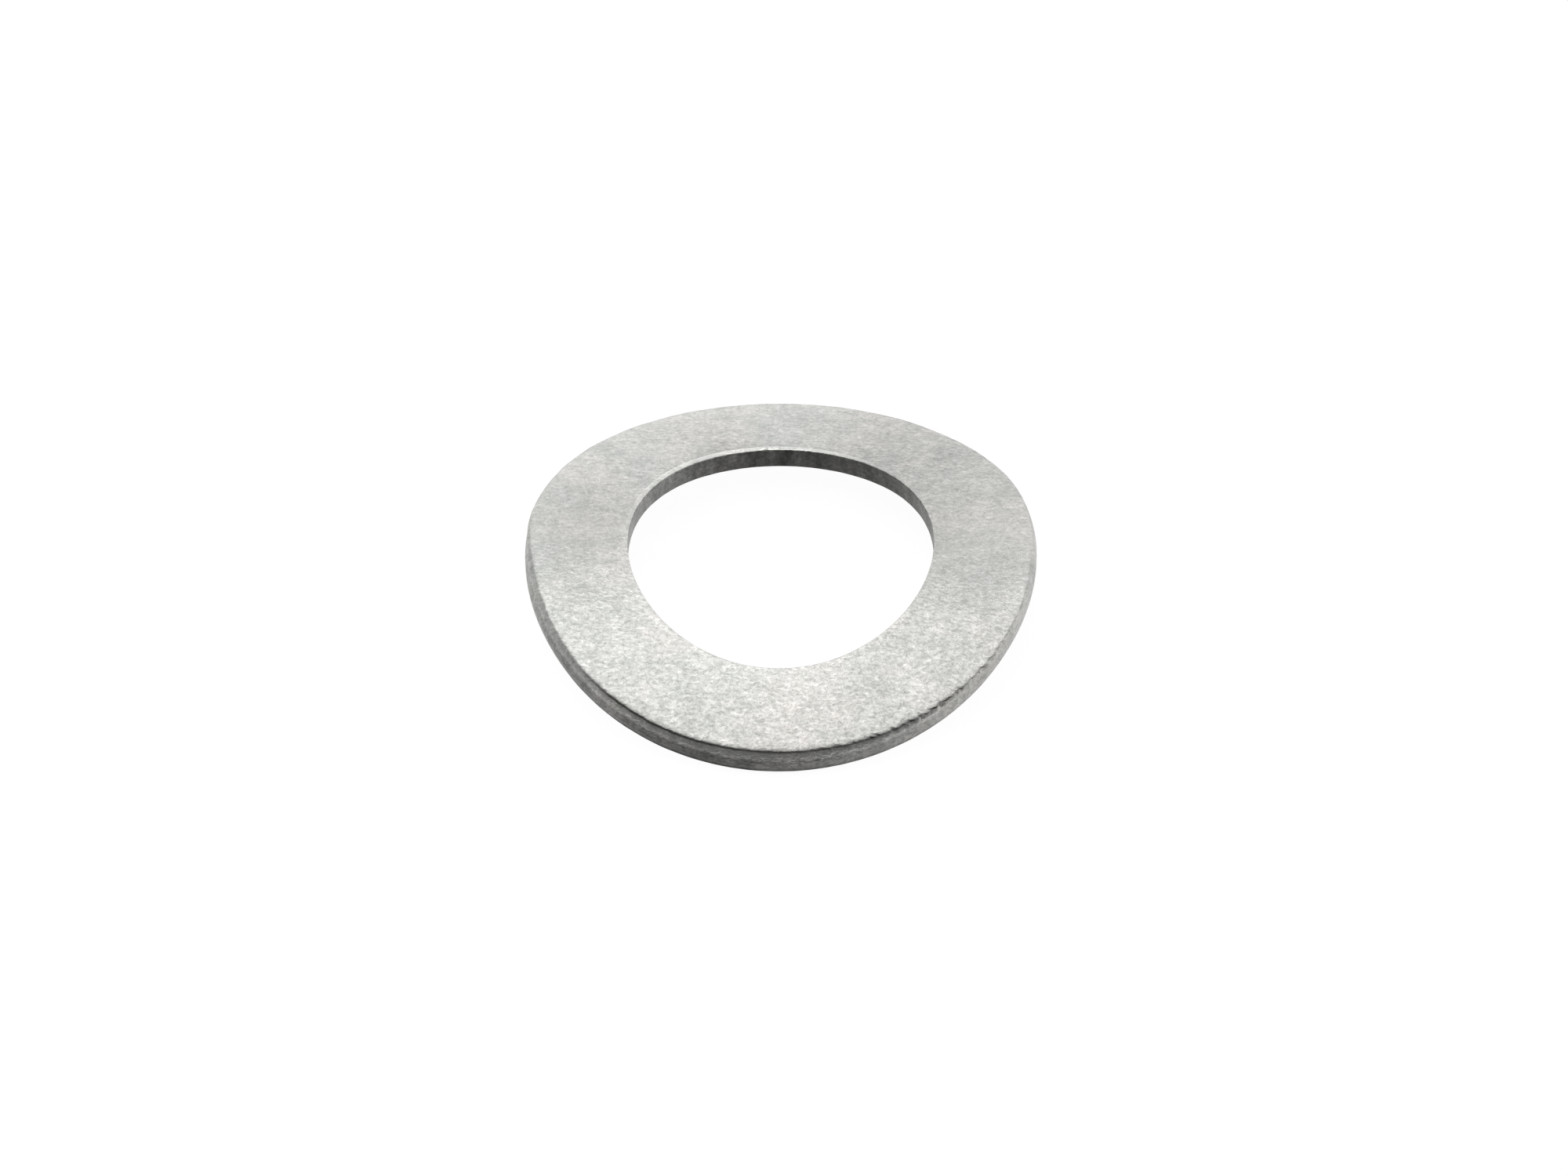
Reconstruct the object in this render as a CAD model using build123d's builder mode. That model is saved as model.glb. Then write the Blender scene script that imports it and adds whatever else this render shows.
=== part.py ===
# Curved spring washer: one ring, stamped from a strip of spring steel and bent to an arch.
#
# The arch stands crown up on the XY plane. It is bent about the X axis, so the crown runs
# along X, and the rim touches the ground at its two points furthest out along Y.
# The origin is on the ground, under the middle of the hole. Sizes are in millimetres.

import os
from math import cos, radians, sin

from build123d import *

# Ring. The outer diameter is that of the flat blank, and the hole is gauged after the bend.
outer_diameter = 18.0
hole_diameter = 10.75
thickness = 0.8

# Arch: a crown bent to a radius, measured to the middle of the sheet, and a straight flank on
# each side of it, which slopes down to the foot
bend_radius = 17.6
flank_slope = 15.5

# Edges. Blanking rolls the rim's upper edge over and leaves its lower one sharp. The hole is
# pierced from the other side and has its roll below. Tumbling then breaks the sharp edges.
rim_roll = 0.32
hole_roll = 0.06
edge_break = 0.04

# Strip left over around the ring before it is cut
strip_margin = 1.0

# Underside of the sheet. The blank reaches from the crown round the bend and down the flank.
outer_radius = outer_diameter / 2
underside_radius = bend_radius - thickness / 2
slope = radians(flank_slope)
flank_length = outer_radius - bend_radius * slope
foot_reach = underside_radius * sin(slope) + flank_length * cos(slope)

# The feet stand on the ground. Each is the broken lower edge of the rim, which lies a little
# above the sharp corner that it replaces.
foot_rise = edge_break * sin(slope)
bend_height = flank_length * sin(slope) - underside_radius * cos(slope) - foot_rise

# Section of the underside across the crown, flank to flank, at one side of the strip
with BuildLine(Plane.YZ.offset(-outer_radius - strip_margin)) as bend:
    crown = CenterArc((0, bend_height), underside_radius, 90 - flank_slope, 2 * flank_slope)
    Line(crown @ 0, crown @ 0 - (crown % 0) * (flank_length + strip_margin))
    Line(crown @ 1, crown @ 1 + (crown % 1) * (flank_length + strip_margin))

# Outline of the ring from straight above. The bend shortens the blank's circle to an ellipse.
with BuildPart() as outline:
    with BuildSketch():
        Ellipse(outer_radius, foot_reach)
    extrude(amount=outer_radius, both=True)

with BuildPart() as spring_washer:
    # Sheet: it grows square from its underside, so the rim leans with it all round
    for bend_line in bend.edges():
        strip = Face.extrude(bend_line, (outer_diameter + 2 * strip_margin, 0, 0))
        for underside in strip.intersect(outline.part):
            thicken(underside, amount=thickness, normal_override=(0, 0, 1))

    # Hole, straight down through the crown, as the gauge leaves it
    with BuildSketch():
        Circle(hole_diameter / 2)
    extrude(amount=outer_radius, both=True, mode=Mode.SUBTRACT)

    # Edges
    rim = faces().filter_by(GeomType.BSPLINE)
    hole_wall = faces().filter_by(GeomType.CYLINDER).sort_by(SortBy.RADIUS)[0]
    upper_side = faces().filter_by(lambda face: face.normal_at().Z > cos(2 * slope))
    lower_side = faces().filter_by(lambda face: face.normal_at().Z < -cos(2 * slope))
    fillet(upper_side.edges() & rim.edges(), rim_roll)
    fillet(lower_side.edges() & hole_wall.edges(), hole_roll)
    chamfer(upper_side.edges() & hole_wall.edges(), edge_break)
    chamfer(lower_side.edges() & rim.edges(), edge_break)

spring_washer.part.label = "spring_washer"
os.makedirs("parts", exist_ok=True)
export_step(spring_washer.part, "parts/spring_washer.step")
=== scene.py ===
import math

import bpy
from mathutils import Matrix, Vector, noise


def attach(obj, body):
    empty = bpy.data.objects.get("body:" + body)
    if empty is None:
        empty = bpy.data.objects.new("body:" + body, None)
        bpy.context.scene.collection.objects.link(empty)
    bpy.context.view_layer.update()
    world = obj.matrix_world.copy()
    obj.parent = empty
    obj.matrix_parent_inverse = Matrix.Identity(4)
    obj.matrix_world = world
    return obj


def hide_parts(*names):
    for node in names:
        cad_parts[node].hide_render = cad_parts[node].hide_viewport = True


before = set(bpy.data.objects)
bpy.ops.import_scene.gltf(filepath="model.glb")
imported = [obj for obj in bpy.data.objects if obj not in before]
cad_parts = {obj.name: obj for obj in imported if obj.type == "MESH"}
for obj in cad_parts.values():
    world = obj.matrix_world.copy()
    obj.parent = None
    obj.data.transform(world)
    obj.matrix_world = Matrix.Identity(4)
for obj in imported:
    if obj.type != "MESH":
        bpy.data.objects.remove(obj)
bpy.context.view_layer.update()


# The view of the photograph: a long lens, 45 degrees above the table and almost square to the
# crown of the arch, aimed a little in front of its top. The frame is 2000 by 1500, and the
# focal length is in its pixels.
MM = 0.001
frame_width = 2000
focal_length = 9789
sensor_width = 36
view_height = math.radians(45.45)
view_turn = math.radians(2.67)
view_roll = math.radians(0.569)
view_distance = 270 * MM
aim_right = 0.099
aim_down = 1.354
crown = Vector((0, 0, 2.148 * MM))
towards_camera = Vector((math.sin(view_turn) * math.cos(view_height),
                         -math.cos(view_turn) * math.cos(view_height),
                         math.sin(view_height)))
level_right = Vector((math.cos(view_turn), math.sin(view_turn), 0))
level_up = towards_camera.cross(level_right)
eye = crown + towards_camera * view_distance
target = crown + level_right * aim_right * MM - level_up * aim_down * MM

back = (eye - target).normalized()
right = level_right * math.cos(view_roll) - level_up * math.sin(view_roll)
right = (right - back * right.dot(back)).normalized()
up = back.cross(right)
camera_data = bpy.data.cameras.new("camera")
camera_data.sensor_width = sensor_width
camera_data.lens = focal_length * sensor_width / frame_width
camera_data.clip_start = 0.01
camera = bpy.data.objects.new("camera", camera_data)
camera.matrix_world = Matrix((
    (right.x, up.x, back.x, eye.x),
    (right.y, up.y, back.y, eye.y),
    (right.z, up.z, back.z, eye.z),
    (0, 0, 0, 1)))
bpy.context.scene.collection.objects.link(camera)
bpy.context.scene.camera = camera


# Washer: one ring of spring steel. A die cuts it from the strip, and a second one bends it to
# an arch with a round crown and two straight flanks. Barrel tumbling dents its faces, and a
# thin coat of zinc follows every dent, tooth and burr that the stamping leaves.

# Sizes are in millimetres. Directions are in degrees round the ring: 0 is its right end, 90
# its back and 270 its front. How bare the steel is runs from 0, where the zinc shines, to 1,
# where the cut tore it off. The same value also carries painted shade and painted highlight:
# it is raised where a place is painted darker as shade, and lowered where it is painted lighter.
rim_radius = 9.0
hole_radius = 5.375
half_sheet = 0.4
bend_radius = 17.6
flank_slope = math.radians(15.5)
bend_height = -15.4524
edge_break = 0.04


def waves(place, size, seed, octaves=2):
    """Even noise from -1 to 1 at a place in millimetres, with lumps of the given size."""
    spot = Vector(place) / size + Vector((seed * 17.3, seed * 5.1, seed * 9.7))
    return max(-1.0, min(1.0, noise.fractal(spot, 1.0, 2.0, octaves) * 1.2))


def facing(turn, degrees, narrowness=1):
    """How far a place on the ring faces the given direction, from 0 to 1."""
    return max(0.0, math.cos(turn - math.radians(degrees))) ** narrowness


def with_lobes(turn, base, lobes):
    """A value at one angle of the ring: its base, and what each lobe adds to it. A lobe is how
    much, in which direction, and how narrowly."""
    value = base
    for amount, degrees, narrowness in lobes:
        value += amount * facing(turn, degrees, narrowness)
    return value


def between(start, end, share):
    """The value that lies a share of the way from start to end."""
    return start + (end - start) * share


def rounded(corner, start, end, count, fullness=0.7):
    """Points of a rounded edge from start to end, which pulls towards the corner it replaces."""
    points = []
    for step in range(count):
        t = (step + 1) / (count + 1)
        weights = ((1 - t) ** 2, 2 * fullness * t * (1 - t), t * t)
        total = sum(weights)
        points.append(tuple((weights[0] * start[axis] + weights[1] * corner[axis]
                             + weights[2] * end[axis]) / total for axis in range(len(corner))))
    return points


def bent(x, along, off):
    """Where a point of the flat blank ends up. It lies off the middle of the sheet by off."""
    radius = bend_radius + off
    angle = max(-flank_slope, min(flank_slope, along / bend_radius))
    straight = along - angle * bend_radius
    y = radius * math.sin(angle) + straight * math.cos(angle)
    z = radius * math.cos(angle) - straight * math.sin(angle) + bend_height
    return x, y, z


def side(x, y, off):
    """The point of a side of the bent sheet that lies over a point of the ground."""
    radius = bend_radius + off
    bend_end = radius * math.sin(flank_slope)
    curved = min(abs(y), bend_end)
    z = math.sqrt(radius * radius - curved * curved) - (abs(y) - curved) * math.tan(flank_slope)
    return x, y, z + bend_height


def on_side(start, end, share, off):
    """The point of a side of the bent sheet that lies a share of the way between two others."""
    return side(between(start[0], end[0], share), between(start[1], end[1], share), off)


def along_rim(turn):
    """The place on the flat blank's rim where the marks of the die are looked up."""
    return rim_radius * math.cos(turn), rim_radius * math.sin(turn), 0


# Rim: the die draws the upper edge over in a roll, which starts on the face and turns down at
# a corner. A slant leads from there to a knee, and the torn wall from the knee to the broken
# lower edge. The wall lobes add painted shade to the wall, most at the front and less at the
# back, and the crisp lobes say where the roll is crisp and narrow.
rim_roll = 0.33
roll_run = 0.3
corner_round = 0.07
slant_bulge = 0.025
knee_inset = 0.01
knee_drop = 0.36
knee_round = 0.12
low_break = 1.4 * edge_break
underside_start = (edge_break, -half_sheet)
bare_wall = 0.24
# Painted shade on the wall, by direction round the ring
wall_shade_lobes = ((0.62, 252, 1.3), (0.16, 80, 1), (0.1, 345, 8))
crisp_lobes = ((1.0, 342, 6), (0.7, 90, 1), (0.85, 175, 40))
roll_steps = 10
slant_steps = 6
knee_steps = 3
wall_steps = 7
break_steps = 4


def at_rim(turn, point):
    """A bent point of the rim, given by how far it is in from the rim and off the middle."""
    out = rim_radius - point[0]
    return bent(out * math.cos(turn), out * math.sin(turn), point[1])


def rim_profile(turn, on_edge):
    """The rim at one angle, from the face over the roll and down the wall: points that say how
    far they lie in from the rim, how far off the middle of the sheet, and how bare they are,
    with painted shade and highlight added to the bareness."""
    place = along_rim(turn)

    # The roll's line wavers, and the die bites teeth into it at the front right
    bites = max(0.0, waves(place, 0.2, 3, 3))
    toothed = facing(turn, 309, 12)
    ragged = 0.02 * waves(place, 1.5, 1) + 0.014 * waves(place, 0.3, 2) + 0.09 * toothed * bites
    crisp = min(1.0, with_lobes(turn, 0.0, crisp_lobes))

    # Painted shade: the wall and its lower edge are darkest at the front, and a dark line is
    # painted along the roll there; the slant's tone is also set by direction and by the teeth
    front = min(1.0, 1.6 * facing(turn, 263, 2), 3 * facing(turn, 300))
    on_wall = with_lobes(turn, bare_wall, wall_shade_lobes) + 0.05 * waves(place, 1.2, 4)
    on_low_edge = on_wall + 0.17 * front
    on_knee = 0.86 * on_wall
    on_slant = ((0.5 + 0.3 * crisp + 0.14 * toothed) * on_wall
                - 0.22 * front * facing(turn, 280, 1.5))
    on_line = max(on_slant, front * (0.96 - 0.12 * facing(turn, 282, 12)
                                     - toothed * (0.3 - 0.3 * bites)))

    corner = (rim_roll * (1 - 0.78 * crisp) + 0.09 * facing(turn, 265, 6) + ragged, half_sheet)
    knee = (knee_inset, half_sheet - knee_drop - 0.5 * ragged)
    slant = math.hypot(corner[0] - knee[0], corner[1] - knee[1])
    down = ((knee[0] - corner[0]) / slant, (knee[1] - corner[1]) / slant)
    roll_start = (corner[0] + roll_run - 0.15 * crisp, half_sheet)
    slant_start = (corner[0] + corner_round * down[0], corner[1] + corner_round * down[1])
    slant_end = (knee[0] - knee_round * down[0], knee[1] - knee_round * down[1])
    wall_start = (0.0, knee[1] - knee_round)
    wall_end = (0.0, -half_sheet + low_break)

    # Roll: at the teeth, dark streaks, partly tears and partly painted shadow beside the tufts,
    # are combed a little sideways as they near the line
    rim = [(*roll_start, on_edge)]
    for step, point in enumerate(rounded(corner, roll_start, slant_start, roll_steps, 1.3)):
        share = ((step + 1) / (roll_steps + 1)) ** 2.5
        hair = waves(along_rim(turn - 0.005 * step), 0.14, 11)
        torn_and_shaded = 1.4 * toothed * max(0.0, hair) * (step / (roll_steps - 1)) ** 0.7
        rim.append((*point, min(1.0, between(on_edge, on_line, share) + torn_and_shaded)))

    # Slant, slightly crowned
    for step in range(slant_steps):
        share = step / (slant_steps - 1)
        bulge = slant_bulge * math.sin(math.pi * share)
        fading = max(0.0, 1 - share * 4)
        rising = max(0.0, share * 2 - 1)
        rim.append((between(slant_start[0], slant_end[0], share) + bulge * down[1],
                    between(slant_start[1], slant_end[1], share) - bulge * down[0],
                    on_slant + (on_line - on_slant) * fading + (on_knee - on_slant) * rising))

    # Knee, wall and broken lower edge
    for step, point in enumerate(rounded(knee, slant_end, wall_start, knee_steps)):
        rim.append((*point, between(on_knee, on_wall, (step + 1) / knee_steps)))
    for step in range(wall_steps):
        share = step / (wall_steps - 1)
        rim.append((0.0, between(wall_start[1], wall_end[1], share),
                    between(on_wall, on_low_edge, share)))
    low_corner = (0.0, -half_sheet)
    for point in rounded(low_corner, wall_end, underside_start, break_steps, 0.5):
        rim.append((*point, on_low_edge))
    return rim


# Hole: it is pierced from below, which rolls its lower edge and raises a burr on its upper
# one. The burr takes up this much of the face.
hole_roll = 0.06
burr_reach = 0.36
hole_roll_steps = 4
bore_steps = 11


def at_hole(turn, out, off):
    """The point of a side of the bent sheet straight out from the middle of the hole."""
    return side(out * math.cos(turn), out * math.sin(turn), off)


def hole_profile(turn, near_hole):
    """The hole at one angle, from its rolled lower edge up the wall to the burr: its points,
    each with how bare it is, painted shade and highlight included."""
    place = along_rim(turn)
    cosine = math.cos(turn)

    # Painted shade: the wall of the hole is dark, darkest at its back and front, and lighter at
    # its left end than at its right
    end_lightening = 0.3 if cosine < 0 else 0.12
    on_bore = 0.945 - end_lightening * cosine * cosine + 0.03 * waves(place, 0.8, 6)
    chip = 0.04 * max(0.0, waves(place, 0.3, 8, 3)) * facing(turn, 80)

    roll_start = at_hole(turn, hole_radius + hole_roll, -half_sheet)
    low_corner = at_hole(turn, hole_radius, -half_sheet)
    x, y, low = low_corner[0], low_corner[1], low_corner[2] + hole_roll
    high = at_hole(turn, hole_radius, half_sheet)[2] - edge_break - chip
    rolled = rounded(low_corner, roll_start, (x, y, low), hole_roll_steps)
    # The rolled lower edge is painted fully dark: painted shade
    points = [(*point, 1.0) for point in rolled]
    for step in range(bore_steps):
        points.append((x, y, between(low, high, step / (bore_steps - 1)), on_bore))

    # Burr: a low ragged lip around the upper edge, highest at the back on the left, with a
    # painted highlight on its crest there. Each point says how far out it is, its share of the
    # height, and how bare it is.
    burr = facing(turn, 112, 3)
    lip = abs(math.sin(turn)) * (0.008 + 0.1 * burr * (0.6 + 0.4 * waves(place, 0.4, 5)))
    crest_with_highlight = near_hole * (1 - min(1.0, 1.4 * burr))
    for out, rise, bare_and_shaded in ((0.006, 0.0, 0.5), (0.018, 0.25, crest_with_highlight), (0.05, 0.6, crest_with_highlight),
                            (0.085, 0.9, crest_with_highlight), (0.11, 1.0, crest_with_highlight), (0.145, 0.6, crest_with_highlight),
                            (0.18, 0.2, near_hole)):
        x, y, z = at_hole(turn, hole_radius + out * (1 + 0.6 * burr) + chip, half_sheet)
        points.append((x, y, z + lip * rise, bare_and_shaded))
    return points


# Faces: the zinc on them is almost whole. Painted shade darkens the upper face at the back on
# the right, a little at the back on the left and a very little at the front on the right, and
# painted light brightens it a little on the left. Each edge of the upper one has painted shade
# and highlight lobes of its own.
bare_face = 0.17
face_shading_lobes = ((0.1, 125, 2), (0.22, 50, 6), (0.03, 320, 4), (-0.03, 200, 6))
# The edge by the roll is painted a little lighter: painted highlight
edge_highlight = 0.06
edge_shading_lobes = ((0.12, 270, 1), (0.1, 30, 30))
hole_shading_lobes = ((0.15, 114, 40), (-0.07, 250, 1))
face_steps = 26
underside_steps = 14


def ring_section(turn):
    """The whole section of the ring at one angle: its points, each with how bare it is, painted
    shade and highlight included.
    """
    on_face = with_lobes(turn, bare_face, face_shading_lobes)
    on_edge = with_lobes(turn, on_face - edge_highlight, edge_shading_lobes)
    near_hole = with_lobes(turn, on_face, hole_shading_lobes)
    rim = rim_profile(turn, on_edge)

    # Upper side, from the burr out to the roll
    section = []
    face_start = at_hole(turn, hole_radius + burr_reach, half_sheet)
    face_end = at_rim(turn, rim[0])
    for step in range(face_steps):
        share = step / face_steps
        section.append((*on_side(face_start, face_end, share, half_sheet),
                        on_face + (on_edge - on_face) * share ** 3
                        + (near_hole - on_face) * (1 - share) ** 3))
    section += [(*at_rim(turn, point), point[2]) for point in rim]

    # Underside, in towards the hole
    under_start = at_rim(turn, underside_start)
    under_end = at_hole(turn, hole_radius + hole_roll, -half_sheet)
    for step in range(underside_steps):
        share = step / (underside_steps - 1)
        section.append((*on_side(under_start, under_end, share, -half_sheet), on_face))
    return section + hole_profile(turn, near_hole)


# Tumbling dents the faces and shaves the torn walls, whose marks are drawn out downwards. The
# ring stays inside its true size.
dent_depth = 0.003
dent_size = 1.1
shave_depth = 0.005
shave_size = 0.5
shave_drag = 0.3
steps_round = 900
vertices = []
bareness_and_shade = []
for step in range(steps_round):
    turn = 2 * math.pi * step / steps_round
    for x, y, z, bare_and_shaded in ring_section(turn):
        dent = dent_depth * (waves((x, y, z), dent_size, 7) - 1) * (1 - bare_and_shaded)
        shave = shave_depth * (waves((x, y, z * shave_drag), shave_size, 9) - 1) * bare_and_shaded
        if math.hypot(x, y) < (rim_radius + hole_radius) / 2:
            shave = -shave
        x += shave * math.cos(turn)
        y += shave * math.sin(turn)
        vertices.append((x * MM, y * MM, max(0.0, z + dent) * MM))
        bareness_and_shade.append(bare_and_shaded)
section_points = len(vertices) // steps_round
faces = []
for step in range(steps_round):
    this = step * section_points
    following = (step + 1) % steps_round * section_points
    for point in range(section_points):
        beside = (point + 1) % section_points
        faces.append((this + point, following + point, following + beside, this + beside))
washer_mesh = bpy.data.meshes.new("washer_ring")
washer_mesh.from_pydata(vertices, [], faces)
washer_mesh.update()
washer_mesh.polygons.foreach_set("use_smooth", [True] * len(faces))
# The layer holds how bare the steel is, with the painted shade and highlight in the same value
bareness_and_shade_layer = washer_mesh.attributes.new("steel_bareness_and_shade", "FLOAT", "POINT")
bareness_and_shade_layer.data.foreach_set("value", bareness_and_shade)
washer = bpy.data.objects.new("washer_ring", washer_mesh)
bpy.context.scene.collection.objects.link(washer)


def colour(code):
    """A colour written as sRGB hex, in the linear values that Blender works with."""
    parts = [int(code[start:start + 2], 16) / 255 for start in (1, 3, 5)]
    linear = [part / 12.92 if part <= 0.04045 else ((part + 0.055) / 1.055) ** 2.4
              for part in parts]
    return (*linear, 1.0)


def add_node(tree, kind, settings=None, links=None):
    """Adds a node, gives its properties and sockets their values, and links its inputs."""
    node = tree.nodes.new(kind)
    for name, value in (settings or {}).items():
        if isinstance(name, str) and hasattr(node, name):
            setattr(node, name, value)
        else:
            node.inputs[name].default_value = value
    for name, source in (links or {}).items():
        tree.links.new(source, node.inputs[name])
    return node


# Zinc plate on tumbled spring steel: satin silver grey. Tumbling breaks its shine into flecks
# of 0.1 mm and scuffs of 0.4 mm, longer along the crown, with grit between them, soft clouds
# of 2 mm and a few bright pinpoints. The back half is smoother. The cut walls are darker,
# partly because the zinc is thin over the torn steel and partly by painted shade, and have drag
# marks 0.3 mm apart instead. The same darkening also paints shade and highlight on the faces,
# the edges and the hole.
zinc = bpy.data.materials.new("zinc_plated_tumbled_steel")
zinc.use_nodes = True
tree = zinc.node_tree
tree.nodes.clear()

# Marks to the millimetre: tints of 2.5 mm, clouds of 2, pinpoints 0.5 apart, scuffs of 0.4,
# drag marks 0.33 apart, thin scratches of 0.25, and flecks of 0.11. The real grit is finer
# than its 0.08 mm here, which is the least that shows.
tints_per_mm = 0.4
clouds_per_mm = 0.5
pinpoints_per_mm = 2.0
scuffs_per_mm = 2.4
drags_per_mm = 3.0
scratches_per_mm = 4.0
flecks_per_mm = 9.0
grit_per_mm = 13.0
to_mm = 1000
crown_stretch = 0.62
wall_stretch = 0.35
place = add_node(tree, "ShaderNodeTexCoord").outputs["Object"]
even = add_node(tree, "ShaderNodeMapping", {"Scale": (to_mm, to_mm, to_mm)}, {"Vector": place})
down_wall = add_node(tree, "ShaderNodeMapping", {"Scale": (to_mm, to_mm, to_mm * wall_stretch)},
                     {"Vector": place})
along_crown = add_node(tree, "ShaderNodeMapping",
                       {"Scale": (to_mm * crown_stretch, to_mm, to_mm)}, {"Vector": place})

# Depth of the tumbling marks: full at the front, and fading to half at the back
across = add_node(tree, "ShaderNodeSeparateXYZ", links={"Vector": even.outputs["Vector"]})
tumbled = add_node(tree, "ShaderNodeMapRange", {"From Min": -4.0, "From Max": 7.0, "To Min": 1.0,
                                                 "To Max": 0.5}, {"Value": across.outputs["Y"]})

tints = add_node(tree, "ShaderNodeTexNoise", {"Scale": tints_per_mm, "Detail": 2.0},
                 {"Vector": even.outputs["Vector"]})
clouds = add_node(tree, "ShaderNodeTexNoise", {"Scale": clouds_per_mm, "Detail": 5.0,
                                                "Roughness": 0.62},
                  {"Vector": even.outputs["Vector"]})
pinpoints = add_node(tree, "ShaderNodeTexVoronoi", {"Scale": pinpoints_per_mm},
                     {"Vector": even.outputs["Vector"]})
scuffs = add_node(tree, "ShaderNodeTexNoise", {"Scale": scuffs_per_mm, "Detail": 3.0,
                                                "Roughness": 0.6, "Distortion": 0.5},
                  {"Vector": along_crown.outputs["Vector"]})
drags = add_node(tree, "ShaderNodeTexNoise", {"Scale": drags_per_mm, "Detail": 4.0,
                                               "Roughness": 0.65},
                 {"Vector": down_wall.outputs["Vector"]})
scratches = add_node(tree, "ShaderNodeTexNoise", {"Scale": scratches_per_mm, "Detail": 1.0,
                                                   "Distortion": 0.8},
                     {"Vector": along_crown.outputs["Vector"]})
flecks = add_node(tree, "ShaderNodeTexNoise", {"Scale": flecks_per_mm, "Detail": 3.0,
                                                "Roughness": 0.65, "Distortion": 0.4},
                  {"Vector": along_crown.outputs["Vector"]})
grit = add_node(tree, "ShaderNodeTexNoise", {"Scale": grit_per_mm, "Detail": 2.0,
                                              "Roughness": 0.7},
                {"Vector": even.outputs["Vector"]})

# Where the steel is half bare, and where the painted shade is half deep, the flecks decide how
# far the zinc still reaches over it, so the painted shade is frayed as well
# How bare the steel is, and the painted shade and highlight that share its value
steel_bareness_and_shade = add_node(tree, "ShaderNodeAttribute", {"attribute_name": "steel_bareness_and_shade"})
zinc_and_lit_share = add_node(tree, "ShaderNodeMath", {"operation": "SUBTRACT", 0: 1.0},
                     {1: steel_bareness_and_shade.outputs["Fac"]})
half_bare_and_shaded = add_node(tree, "ShaderNodeMath", {"operation": "MULTIPLY"},
                     {0: steel_bareness_and_shade.outputs["Fac"], 1: zinc_and_lit_share.outputs[0]})
fleck_height = add_node(tree, "ShaderNodeMath", {"operation": "SUBTRACT", 1: 0.5},
                        {0: flecks.outputs["Fac"]})
frayed = add_node(tree, "ShaderNodeMath", {"operation": "MULTIPLY"},
                  {0: half_bare_and_shaded.outputs[0], 1: fleck_height.outputs[0]})
shade_and_bareness_here = add_node(tree, "ShaderNodeMath", {"operation": "MULTIPLY_ADD", 1: -2.0},
                         {0: frayed.outputs[0], 2: steel_bareness_and_shade.outputs["Fac"]})
dented = add_node(tree, "ShaderNodeMath", {"operation": "MULTIPLY"},
                  {0: tumbled.outputs["Result"], 1: zinc_and_lit_share.outputs[0]})

# Tones of the zinc where each kind of mark is weakest and strongest, and of the steel where it
# is covered and bare; this last tone also paints the shade and highlight. The scratches are
# bright only along their middle, and the tone falls slowly at first where the steel gets barer
# and the painted shade deeper.
tint_tone = add_node(tree, "ShaderNodeValToRGB", links={"Fac": tints.outputs["Fac"]})
cloud_tone = add_node(tree, "ShaderNodeValToRGB", links={"Fac": clouds.outputs["Fac"]})
scuff_tone = add_node(tree, "ShaderNodeValToRGB", links={"Fac": scuffs.outputs["Fac"]})
drag_tone = add_node(tree, "ShaderNodeValToRGB", links={"Fac": drags.outputs["Fac"]})
scratch_tone = add_node(tree, "ShaderNodeValToRGB", links={"Fac": scratches.outputs["Fac"]})
fleck_tone = add_node(tree, "ShaderNodeValToRGB", links={"Fac": flecks.outputs["Fac"]})
grit_tone = add_node(tree, "ShaderNodeValToRGB", links={"Fac": grit.outputs["Fac"]})
steel_and_shade_tone = add_node(tree, "ShaderNodeValToRGB", links={"Fac": shade_and_bareness_here.outputs[0]})
for ramp, weakest, weak_colour, strongest, strong_colour in (
        (tint_tone, 0.4, "#fcfdfd", 0.62, "#fefdfd"),
        (cloud_tone, 0.38, "#eff0ef", 0.62, "#fdfcfb"),
        (scuff_tone, 0.35, "#f0f1ef", 0.6, "#fdfcfb"),
        (drag_tone, 0.35, "#c4c4c2", 0.65, "#fffdfc"),
        (scratch_tone, 0.42, "#f0f0ef", 0.58, "#f0f0ef"),
        (fleck_tone, 0.3, "#e0e0df", 0.7, "#fffffe"),
        (grit_tone, 0.3, "#ececeb", 0.62, "#ffffff"),
        (steel_and_shade_tone, 0.0, "#ffffff", 1.0, "#2c2c2a")):
    ends = ramp.color_ramp.elements
    ends[0].position = weakest
    ends[0].color = colour(weak_colour)
    ends[1].position = strongest
    ends[1].color = colour(strong_colour)
scratch_tone.color_ramp.elements.new(0.5).color = colour("#ffffff")
steel_and_shade_tone.color_ramp.elements.new(0.2).color = colour("#e9e9e9")

# The tones one over another. A colour mix takes its share and its two colours at these sockets.
mix_share, lower, upper = 0, 6, 7
multiply = {"data_type": "RGBA", "blend_type": "MULTIPLY"}
tinted = add_node(tree, "ShaderNodeMix", {**multiply, mix_share: 1.0},
                  {lower: scuff_tone.outputs["Color"], upper: tint_tone.outputs["Color"]})
scratched = add_node(tree, "ShaderNodeMix", multiply,
                     {mix_share: dented.outputs[0], lower: tinted.outputs[2],
                      upper: scratch_tone.outputs["Color"]})
flecked = add_node(tree, "ShaderNodeMix", multiply,
                   {mix_share: dented.outputs[0], lower: scratched.outputs[2],
                    upper: fleck_tone.outputs["Color"]})
clouded = add_node(tree, "ShaderNodeMix", {**multiply, mix_share: 1.0},
                   {lower: flecked.outputs[2], upper: cloud_tone.outputs["Color"]})
gritty = add_node(tree, "ShaderNodeMix", {**multiply, mix_share: 1.0},
                  {lower: clouded.outputs[2], upper: grit_tone.outputs["Color"]})
pinpoint = add_node(tree, "ShaderNodeMapRange", {"From Min": 0.04, "From Max": 0.1,
                                                  "To Min": 0.5, "To Max": 0.0},
                    {"Value": pinpoints.outputs["Distance"]})
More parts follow.
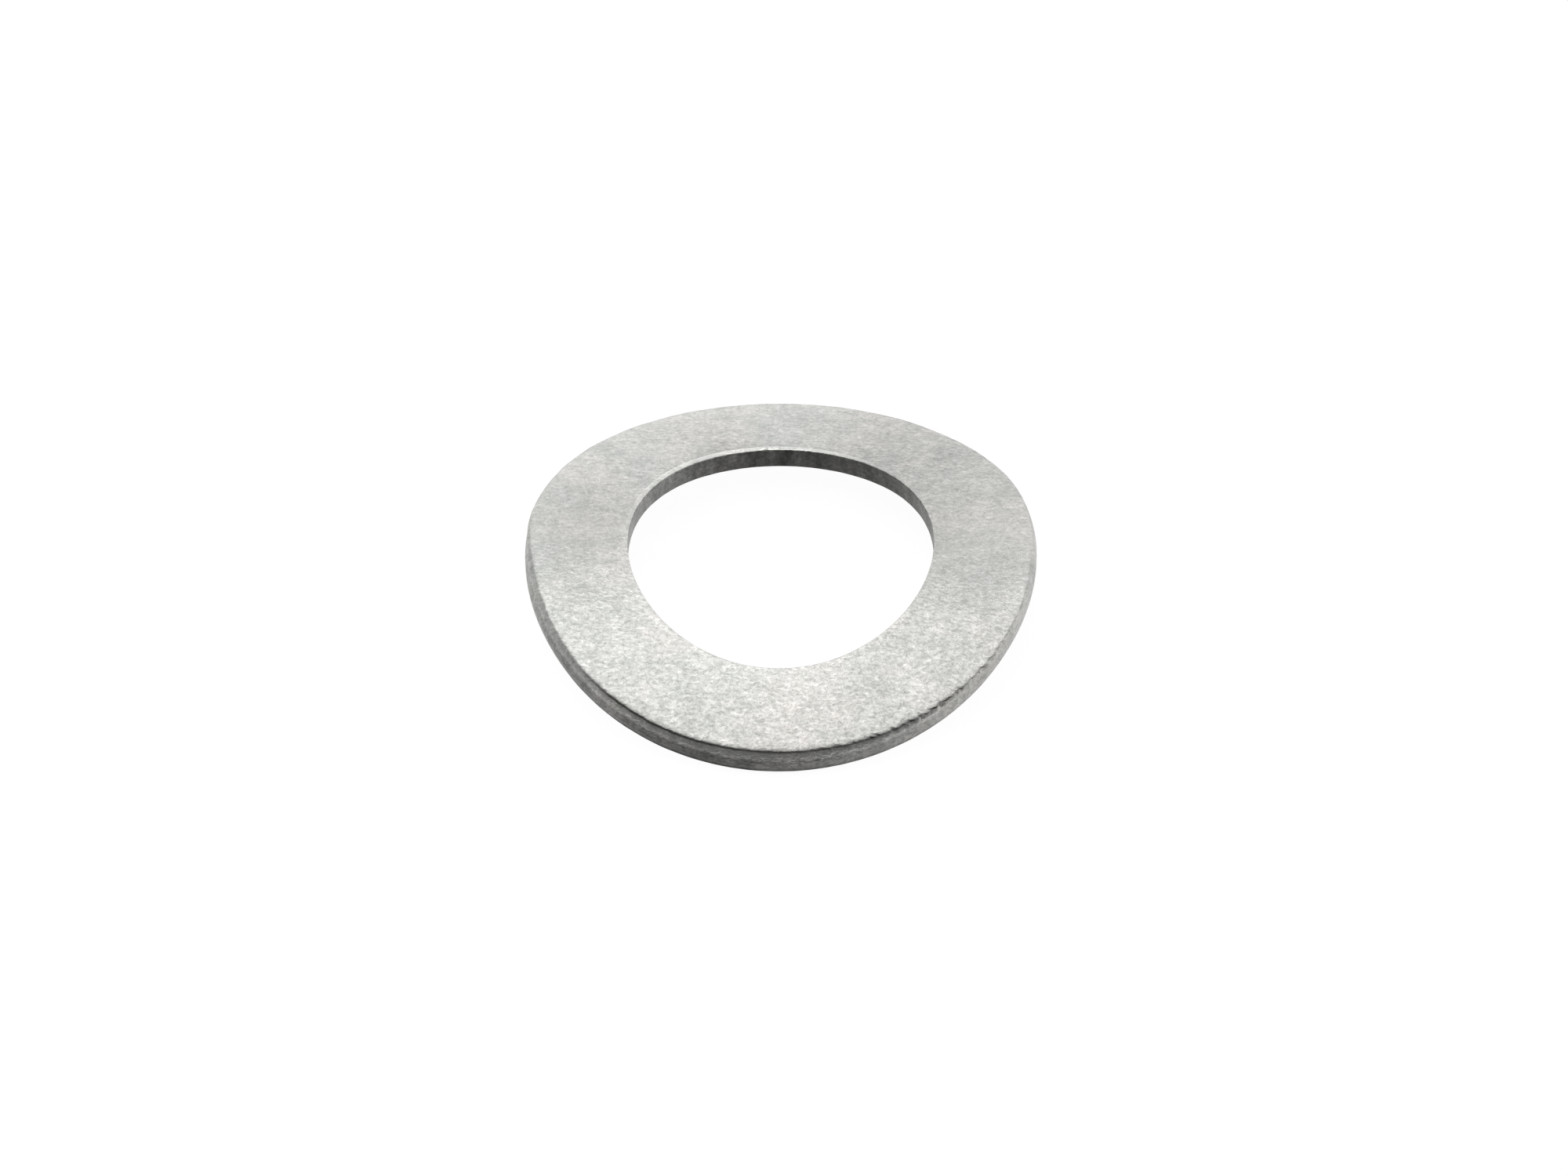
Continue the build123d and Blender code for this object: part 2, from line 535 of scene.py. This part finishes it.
on_faces = add_node(tree, "ShaderNodeMix", {"data_type": "RGBA", upper: colour("#ffffff")},
                    {mix_share: pinpoint.outputs["Result"], lower: gritty.outputs[2]})
on_walls = add_node(tree, "ShaderNodeMix", multiply,
                    {mix_share: steel_bareness_and_shade.outputs["Fac"], lower: on_faces.outputs[2],
                     upper: drag_tone.outputs["Color"]})
tone = add_node(tree, "ShaderNodeMix", {**multiply, mix_share: 1.0},
                {lower: on_walls.outputs[2], upper: steel_and_shade_tone.outputs["Color"]})

# The bright flecks are also the smoothest, and scuffs, flecks and grit each have their depth
scuff_depth = 0.02 * MM
fleck_depth = 0.02 * MM
grit_depth = 0.008 * MM
satin = add_node(tree, "ShaderNodeMapRange", {"From Min": 0.3, "From Max": 0.7, "To Min": 0.46,
                                               "To Max": 0.34}, {"Value": flecks.outputs["Fac"]})
dents = add_node(tree, "ShaderNodeBump", {"Distance": scuff_depth},
                 {"Strength": tumbled.outputs["Result"], "Height": scuffs.outputs["Fac"]})
pits = add_node(tree, "ShaderNodeBump", {"Distance": fleck_depth},
                {"Strength": tumbled.outputs["Result"], "Height": flecks.outputs["Fac"],
                 "Normal": dents.outputs["Normal"]})
grain = add_node(tree, "ShaderNodeBump", {"Strength": 1.0, "Distance": grit_depth},
                 {"Height": grit.outputs["Fac"], "Normal": pits.outputs["Normal"]})
metal = add_node(tree, "ShaderNodeBsdfPrincipled", {"Metallic": 1.0},
                 {"Base Color": tone.outputs[2], "Roughness": satin.outputs["Result"],
                  "Normal": grain.outputs["Normal"]})
add_node(tree, "ShaderNodeOutputMaterial", links={"Surface": metal.outputs["BSDF"]})
washer_mesh.materials.append(zinc)

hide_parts("spring_washer")
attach(washer, "root")


# Table: a wide sheet of white card, matt, that fills the picture behind the washer and takes
# its soft shadow. What the eye and the metal see of it is mostly its own even white.
table_half = 1.5
own_white = 0.9
table_mesh = bpy.data.meshes.new("table")
table_mesh.from_pydata([(-table_half, -table_half, 0), (table_half, -table_half, 0),
                        (table_half, table_half, 0), (-table_half, table_half, 0)],
                       [], [(0, 1, 2, 3)])
table = bpy.data.objects.new("table", table_mesh)
bpy.context.scene.collection.objects.link(table)
card = bpy.data.materials.new("matt_white_card")
card.use_nodes = True
card_tree = card.node_tree
card_tree.nodes.clear()
paper = add_node(card_tree, "ShaderNodeBsdfPrincipled", {"Base Color": colour("#f4f4f4"),
                                                         "Roughness": 0.9})
white = add_node(card_tree, "ShaderNodeEmission", {"Color": colour("#ffffff"), "Strength": 1.05})
ray = add_node(card_tree, "ShaderNodeLightPath")
camera_or_gloss = add_node(card_tree, "ShaderNodeMath", {"operation": "MAXIMUM"},
                           {0: ray.outputs["Is Camera Ray"], 1: ray.outputs["Is Glossy Ray"]})
seen = add_node(card_tree, "ShaderNodeMath", {"operation": "MAXIMUM"},
                {0: camera_or_gloss.outputs[0], 1: ray.outputs["Is Transmission Ray"]})
seen_white = add_node(card_tree, "ShaderNodeMath", {"operation": "MULTIPLY", 1: own_white},
                      {0: seen.outputs[0]})
lit = add_node(card_tree, "ShaderNodeMixShader",
               links={0: seen_white.outputs[0], 1: paper.outputs[0], 2: white.outputs[0]})
add_node(card_tree, "ShaderNodeOutputMaterial", links={"Surface": lit.outputs[0]})
table_mesh.materials.append(card)


# Light: one wide soft box overhead, a little behind and to the left, a long paler panel low
# behind, a smaller one low on the right, and a grey room that is darker on the camera's side.
def soft_box(name, place_at, aim_at, width, depth, radiance):
    """A soft box: a flat lamp of the given size and brightness, turned to face a point."""
    lamp_data = bpy.data.lights.new(name, "AREA")
    lamp_data.shape = "RECTANGLE"
    lamp_data.size = width
    lamp_data.size_y = depth
    lamp_data.energy = radiance * math.pi * width * depth
    lamp = bpy.data.objects.new(name, lamp_data)
    lamp.location = place_at
    lamp.rotation_euler = (Vector(aim_at) - Vector(place_at)).to_track_quat("-Z", "Y").to_euler()
    bpy.context.scene.collection.objects.link(lamp)


soft_box("overhead_box", (-0.08, 0.04, 0.50), (0, 0, 0), 0.5, 0.38, 1.3)
soft_box("back_panel", (0.0, 0.62, 0.2), (0, 0, 0.02), 1.1, 0.34, 0.78)
soft_box("right_panel", (0.57, 0.05, 0.16), (0, 0, 0.02), 0.56, 0.28, 0.8)

world = bpy.data.worlds.new("studio")
bpy.context.scene.world = world
world.use_nodes = True
sky = world.node_tree
sky.nodes.clear()
direction = add_node(sky, "ShaderNodeTexCoord")
parts = add_node(sky, "ShaderNodeSeparateXYZ", links={"Vector": direction.outputs["Generated"]})
room = add_node(sky, "ShaderNodeMapRange", {"From Min": -0.75, "From Max": -0.05, "To Min": 0.1,
                                            "To Max": 0.69}, {"Value": parts.outputs["Y"]})
air = add_node(sky, "ShaderNodeBackground", {"Color": colour("#ffffff")},
               {"Strength": room.outputs["Result"]})
add_node(sky, "ShaderNodeOutputWorld", links={"Surface": air.outputs[0]})

bpy.context.scene.view_settings.view_transform = "Standard"

bpy.context.view_layer.update()
